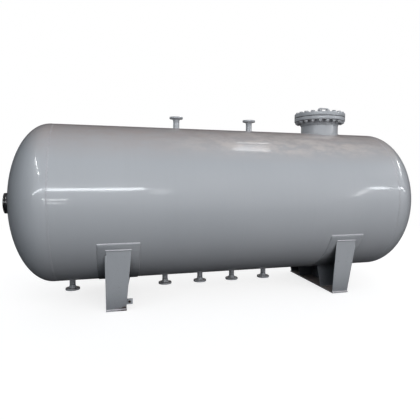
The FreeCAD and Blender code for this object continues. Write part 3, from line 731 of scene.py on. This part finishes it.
def saddle_welds(side, outward, material):
    """The fillets that join one saddle's plates; outward is the way its web faces along X."""
    web_low, web_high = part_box(f"{side}_saddle_web")
    outer = web_high.x if outward > 0 else web_low.x
    inward = Vector((-outward, 0, 0))
    shape = new_shape()

    def at(inset, y, z):
        return Vector((outer, y, z)) + inward * inset

    def under_plate(y):
        return AXIS - math.sqrt(SADDLE_RADIUS ** 2 - y ** 2)

    foot_end, top_end = WEB + RIB_FOOT, WEB + RIB_TOP
    widening = 0.02  # of an inner rib, from its foot to its top
    horn_y = SADDLE_RADIUS * math.sin(HORN_ANGLE)
    horn_z = AXIS - SADDLE_RADIUS * math.cos(HORN_ANGLE)
    for way in (-1, 1):
        away = Vector((0, way, 0))
        slant = Vector((0, way * (horn_y - END_RIB_FOOT), horn_z - FOOT_TOP)).normalized()
        face_out = Vector((0, way * slant.z, -way * slant.y)).normalized()
        # end rib: both sides of its foot, its top edge, its corner with the web, and the flush seam
        straight_fillet(shape, at(0, way * END_RIB_FOOT, FOOT_TOP),
                        at(foot_end, way * END_RIB_FOOT, FOOT_TOP), slant, away, leg=0.008)
        inside = way * (END_RIB_FOOT - RIB)
        straight_fillet(shape, at(WEB, inside, FOOT_TOP), at(foot_end, inside, FOOT_TOP), slant, -away)
        straight_crown(shape, at(WEB * 0.5, way * horn_y, horn_z), at(top_end, way * horn_y, horn_z),
                       slant, face_out, width=0.020, height=0.008)
        climb = (horn_z - WEB_CORNER_DROP - FOOT_TOP) / slant.z
        corner = at(WEB, inside, FOOT_TOP)
        straight_fillet(shape, corner, corner + slant * climb, -away, inward)
        seam = at(WEB, way * END_RIB_FOOT, FOOT_TOP)
        straight_crown(shape, seam + slant * 0.006, seam + slant * climb, inward, face_out,
                       width=0.007, height=0.0016)
        # inner rib: foot, corner with the web and top, on both of its faces
        for y, face in ((way * INNER_RIB, away), (way * (INNER_RIB - RIB), -away)):
            top = under_plate(y)
            plate = Vector((0, face.y, face.y * y / (AXIS - top))).normalized()
            straight_fillet(shape, at(WEB, y, FOOT_TOP), at(foot_end, y, FOOT_TOP), UP, face)
            straight_fillet(shape, at(WEB, y, FOOT_TOP), at(WEB, y, top), face, inward)
            straight_fillet(shape, at(WEB, y, top), at(foot_end + widening, y, top), -UP, plate)
    # web: its foot, and the two sides of its curved top
    end = END_RIB_FOOT - RIB
    straight_fillet(shape, at(WEB, -end, FOOT_TOP), at(WEB, end, FOOT_TOP), UP, inward)
    reach, count = math.radians(55.5), 96  # from straight down to a bead's end, and the steps there
    for inset, face in ((WEB, inward), (0, -inward)):
        rows = []
        for number in range(-count, count + 1):
            angle = reach * number / count
            radial = Vector((0, math.sin(angle), -math.cos(angle)))
            corner = at(inset, 0, AXIS) + radial * SADDLE_RADIUS
            rows.append(fillet_row(corner, radial, face, leg=0.007))
        skin(shape, rows, FILLET_ACROSS)
    if side == "left":
        low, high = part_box("earthing_lug")
        x, gap = low.x - 0.001, 0.002
        straight_crown(shape, Vector((x, low.y, low.z + gap)), Vector((x, low.y, high.z - gap)),
                       inward, FRONT, width=0.009, height=0.0025)
    piece(f"{side}_saddle_welds", shape, material)


def manway_bolting(material):
    """Twenty M33 bolts that hold the manway cover down."""
    cover_low, cover_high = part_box("manway_cover")
    flange_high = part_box("manway_flange")[1]
    centre = Vector(((cover_low.x + cover_high.x) / 2, 0, 0))
    places = ring_places(centre, UP, MANWAY_BOLT_CIRCLE / 2, count=20)
    under = flange_high.z - MANWAY_FLANGE
    bolt_up("manway", places, UP, under, cover_high.z, M33, material)


def earthing_bolt(material):
    """The dark M16 bolt left in the earthing lug."""
    low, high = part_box("earthing_lug")
    place = Vector(((low.x + high.x) / 2, 0, (low.z + high.z) / 2))
    bolt_up("earthing", [place], FRONT, -high.y, -low.y, M16, material)


def gauge_bolting(material):
    """Eight M20 bolts put in from behind the gauge flange, ending just inside the cover's face."""
    radius, pitch, flats, head = M20
    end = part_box("gauge_cover")[0].x + 0.0015
    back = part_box("gauge_flange")[0].x + GAUGE_FLANGE
    shape = new_shape()
    places = ring_places(Vector((0, 0, AXIS)), ALONG, GAUGE_BOLT_CIRCLE / 2, count=8)
    for number, place in enumerate(places):
        seat = place + ALONG * back
        hex_head(shape, seat, ALONG, flats, head, head_turn(number))
        shank(shape, seat, place + ALONG * end, radius, pitch, thread=8 * pitch)
    piece("gauge_bolts", shape, material, 30)


# ---------------------------------------------------------------- the CAD nodes' own finish

def finish_nodes(plate, rust_places):
    """Gives every CAD node its material, and rounds the cut edges of plates and forgings."""
    dished = grey_gloss("grey_gloss_on_dished_plate", 5.5, 0.0022)
    forging = flange_paint()
    cut_plate = worn_grey("grey_gloss_on_cut_plate", rust_places, 0.7)
    fitting = worn_grey("grey_gloss_on_fitting", [], 0.12, 0.35)
    black = black_gloss()
    gasket = gasket_steel()
    rounding = {}
    for name, node in NODES.items():
        if name.startswith("shell"):
            look = plate
        elif name.startswith("head"):
            look = dished
        elif name == "manway_gasket":
            look = gasket
        elif name in ("gauge_flange", "gauge_cover"):
            look, rounding[name] = black, 0.0025
        elif "nozzle" in name and name.endswith("_flange"):
            look, rounding[name] = forging, 0.0016
        elif "saddle" in name or name == "earthing_lug":
            look, rounding[name] = cut_plate, 0.0012
        else:
            look = fitting
            if name in ("manway_cover", "manway_flange"):
                rounding[name] = 0.003
        for slot in node.material_slots:
            slot.material = look
    for name, width in rounding.items():
        join = NODES[name].modifiers.new("join_faces", "WELD")
        join.merge_threshold = 1e-5
        edge = NODES[name].modifiers.new("round_edges", "BEVEL")
        edge.width = width
        edge.segments = 2
        edge.limit_method = "ANGLE"
        edge.angle_limit = math.radians(35)
        edge.harden_normals = True


# ---------------------------------------------------------------- floor, light and camera

def aim(item, place, target):
    item.location = place
    item.rotation_euler = (Vector(target) - Vector(place)).to_track_quat("-Z", "Y").to_euler()


def soft_box(name, place, target, size, radiance, colour=(1, 1, 1), shine=False):
    """A rectangular light at place facing target. It lights the surfaces, or with shine only shows in
    their gloss."""
    data = bpy.data.lights.new(name, "AREA")
    data.shape = "RECTANGLE"
    data.size, data.size_y = size
    data.energy = radiance * math.pi * size[0] * size[1]
    data.color = colour
    box = bpy.data.objects.new(name, data)
    aim(box, place, target)
    box.visible_camera = False
    box.visible_glossy = shine
    box.visible_diffuse = not shine
    bpy.context.scene.collection.objects.link(box)
    return box


def strip(name, start, end, width, radiance, target, colour=(1, 1, 1)):
    """A long narrow light from start to end, seen only in the gloss."""
    start, end, target = Vector(start), Vector(end), Vector(target)
    middle = (start + end) / 2
    along = (end - start).normalized()
    back = (middle - target).normalized()
    back = (back - along * back.dot(along)).normalized()
    box = soft_box(name, middle, target, ((end - start).length, width), radiance, colour, shine=True)
    box.rotation_euler = Matrix((along, back.cross(along), back)).transposed().to_euler()


def around_tank(azimuth, elevation, distance):
    """A place seen from the tank's middle; azimuth 0 is the front (-Y) and 90 the right end (+X)."""
    a, e = math.radians(azimuth), math.radians(elevation)
    return Vector((distance * math.sin(a) * math.cos(e), -distance * math.cos(a) * math.cos(e),
                   AXIS + distance * math.sin(e)))


def lights():
    """Soft boxes that light the tank, and strips that only its gloss mirrors."""
    middle = (0, 0, AXIS)
    soft_box("key_right", around_tank(24, 24, 12), middle, (9, 6), 2.2)
    soft_box("key_front", around_tank(-4, 38, 12), middle, (8, 6), 2.2, (1.0, 0.985, 0.97))
    soft_box("key_low", around_tank(14, 0, 12), middle, (11, 2.2), 4.2, (1.0, 0.985, 1.0))
    soft_box("fill_left", around_tank(-52, 22, 12), middle, (5, 7), 2.3, (0.86, 0.95, 1.0))
    soft_box("fill_right", around_tank(118, 16, 12), middle, (6, 6), 2.6)
    soft_box("fill_back_left", around_tank(-158, 18, 12), middle, (9, 6), 2.8)
    soft_box("fill_back_right", around_tank(158, 18, 12), middle, (9, 6), 2.8)
    # lamps, their glow and two windows in front, mirrored as the streaks along the vessel's side
    front = (0, -0.9, 1.33)
    cool = (0.93, 0.965, 1.0)
    strip("lamp_left", (-3.1, -8, 4.06), (-0.66, -8, 4.10), 0.50, 17.0, front, cool)
    strip("lamp_left_end", (-0.66, -8, 4.16), (-0.49, -8, 4.28), 0.42, 18, front, cool)
    strip("lamp_far_left", (-11.0, -8, 3.70), (-3.3, -8, 4.04), 0.36, 14, front, cool)
    strip("lamp_left_glow", (-0.30, -8, 3.58), (0.20, -8, 3.52), 0.95, 2.8, front)
    strip("window_upper", (-3.22, -8, 2.20), (-2.50, -8, 2.17), 0.22, 14, front)
    strip("window_lower", (-3.15, -8, 1.55), (-2.58, -8, 1.50), 0.22, 8, front)
    strip("lamp_right_lead", (6.16, -8, 2.37), (6.85, -8, 3.90), 0.19, 9, front)
    strip("lamp_right", (7.03, -8, 4.20), (7.80, -8, 4.25), 0.56, 16, front, cool)
    strip("lamp_far_right", (8.27, -8, 4.20), (17.1, -8, 4.04), 0.38, 19, front, cool)
    # skylight over the right half, brightest along its front edge
    shoulder = (0.2, -0.65, 1.8)
    strip("skylight_edge", (2.20, -0.50, 9.2), (3.36, -0.78, 9.2), 0.50, 6.5, shoulder)
    strip("skylight_pane", (2.22, 0.05, 9.2), (3.32, -0.15, 9.2), 0.65, 4.4, shoulder)
    strip("skylight_rear", (2.32, 0.75, 9.2), (3.26, 0.60, 9.2), 0.80, 2.6, shoulder)
    strip("skylight_bar", (2.45, 1.86, 9.2), (3.52, 1.84, 9.2), 0.28, 7.0, shoulder)
    # roof lamps that run across, mirrored as glints down the two heads
    strip("roof_left", (-5.85, -1.5, 6.7), (-5.20, -6.6, 6.7), 0.11, 48, (-2.1, -0.8, 1.6))
    strip("roof_right", (8.35, -1.2, 6.7), (8.90, -5.6, 6.7), 0.12, 80, (2.1, -0.8, 1.6))


def sky():
    """Dim around the tank and brighter overhead, so that the gloss has something quiet to mirror; the
    camera sees plain white."""
    world = bpy.data.worlds.new("studio_sky")
    bpy.context.scene.world = world
    world.use_nodes = True
    tree = world.node_tree
    tree.nodes.clear()
    add, link = tree.nodes.new, tree.links.new
    toward = add("ShaderNodeVectorMath")
    toward.operation = "DOT_PRODUCT"
    toward.inputs[1].default_value = (0.10, -0.55, 0.83)
    link(add("ShaderNodeTexCoord").outputs["Generated"], toward.inputs[0])
    shade = add("ShaderNodeValToRGB")
    ramp = shade.color_ramp
    ramp.elements[0].position, ramp.elements[0].color = 0.0, (0.030, 0.030, 0.034, 1)
    ramp.elements[1].position, ramp.elements[1].color = 1.0, (0.46, 0.48, 0.52, 1)
    ramp.elements.new(0.45).color = (0.11, 0.107, 0.112, 1)
    link(toward.outputs["Value"], shade.inputs[0])
    lit, seen = add("ShaderNodeBackground"), add("ShaderNodeBackground")
    mix = add("ShaderNodeMixShader")
    link(shade.outputs[0], lit.inputs["Color"])
    seen.inputs["Color"].default_value = (1, 1, 1, 1)
    link(add("ShaderNodeLightPath").outputs["Is Camera Ray"], mix.inputs[0])
    link(lit.outputs[0], mix.inputs[1])
    link(seen.outputs[0], mix.inputs[2])
    link(mix.outputs[0], add("ShaderNodeOutputWorld").inputs["Surface"])


def floor():
    """A pale floor that fades into the white behind it. It throws little light back up."""
    mesh = bpy.data.meshes.new("floor")
    shape = bmesh.new()
    bmesh.ops.create_circle(shape, cap_ends=True, segments=96, radius=60)
    shape.to_mesh(mesh)
    shape.free()
    ground = bpy.data.objects.new("floor", mesh)
    ground.location.z = -0.002
    bpy.context.scene.collection.objects.link(ground)
    s = Shade("pale_floor")
    far = s.node("ShaderNodeVectorMath", {0: s.place()}, output="Value", operation="LENGTH")
    near = s.node("ShaderNodeAddShader", {
        0: s.node("ShaderNodeBsdfDiffuse", {"Color": (0.36, 0.36, 0.36, 1)}),
        1: s.node("ShaderNodeEmission", {"Color": (0.76, 0.76, 0.76, 1)})})
    white = s.node("ShaderNodeEmission", {"Color": (1, 1, 1, 1)})
    pale = s.node("ShaderNodeMixShader", {0: s.ramp(far, 3.5, 9.0), 1: near, 2: white})
    dark = s.node("ShaderNodeBsdfDiffuse", {"Color": (0.05, 0.05, 0.055, 1)})
    seen = s.node("ShaderNodeLightPath", output="Is Camera Ray")
    out = s.tree.nodes.new("ShaderNodeOutputMaterial")
    s.tree.links.new(s.node("ShaderNodeMixShader", {0: seen, 1: dark, 2: pale}), out.inputs["Surface"])
    mesh.materials.append(s.material)


def camera():
    """In front of the tank's left half, a little above its axis, looking past its middle."""
    yaw, pitch, roll = 0.2822, -0.0798, 0.0049
    ahead = Vector((math.sin(yaw) * math.cos(pitch), math.cos(yaw) * math.cos(pitch), math.sin(pitch)))
    level = Vector((math.cos(yaw), -math.sin(yaw), 0))
    right = math.cos(roll) * level + math.sin(roll) * level.cross(ahead)
    up = right.cross(ahead)
    data = bpy.data.cameras.new("camera")
    data.sensor_width = 36
    data.lens = 34.74
    data.shift_x, data.shift_y = -0.0457, 0.0022
    eye = bpy.data.objects.new("camera", data)
    turn = Matrix((right, up, -ahead)).transposed()
    eye.matrix_world = Matrix.Translation((-1.380, -5.1417, 1.4559)) @ turn.to_4x4()
    bpy.context.scene.collection.objects.link(eye)
    bpy.context.scene.camera = eye


# ---------------------------------------------------------------- everything together

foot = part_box("left_saddle_base_plate")[1]
foot_corner = (foot.x - 0.028, -END_RIB_FOOT - 0.008, FOOT_TOP - 0.004)
rust_reach = (0.075, 0.05, 0.045)
rolled_plate = grey_gloss("grey_gloss_on_rolled_plate", 2.2, 0.0020)
finish_nodes(rolled_plate, [(foot_corner, rust_reach)])
weld = painted_weld("grey_gloss_on_neck_weld", 0.05, 0.7)
# the saddle welds carry the strongest painted highlight
bright_weld = painted_weld("grey_gloss_on_saddle_weld", 0.85, 0.7)
shell_welds(painted_weld("grey_gloss_on_seam", 0.38, 0.05), rolled_plate)
nozzle_welds(weld)
manway_welds(weld)
gauge_weld(weld)
for saddle, facing in (("left", -1), ("right", 1)):
    wear_plate_weld(saddle, bright_weld)
    saddle_welds(saddle, facing, bright_weld)
manway_bolting(nut_paint())
gauge_bolting(black_gloss())
earthing_bolt(dark_steel())

bpy.context.scene.view_settings.view_transform = "Standard"
sky()
floor()
lights()
camera()
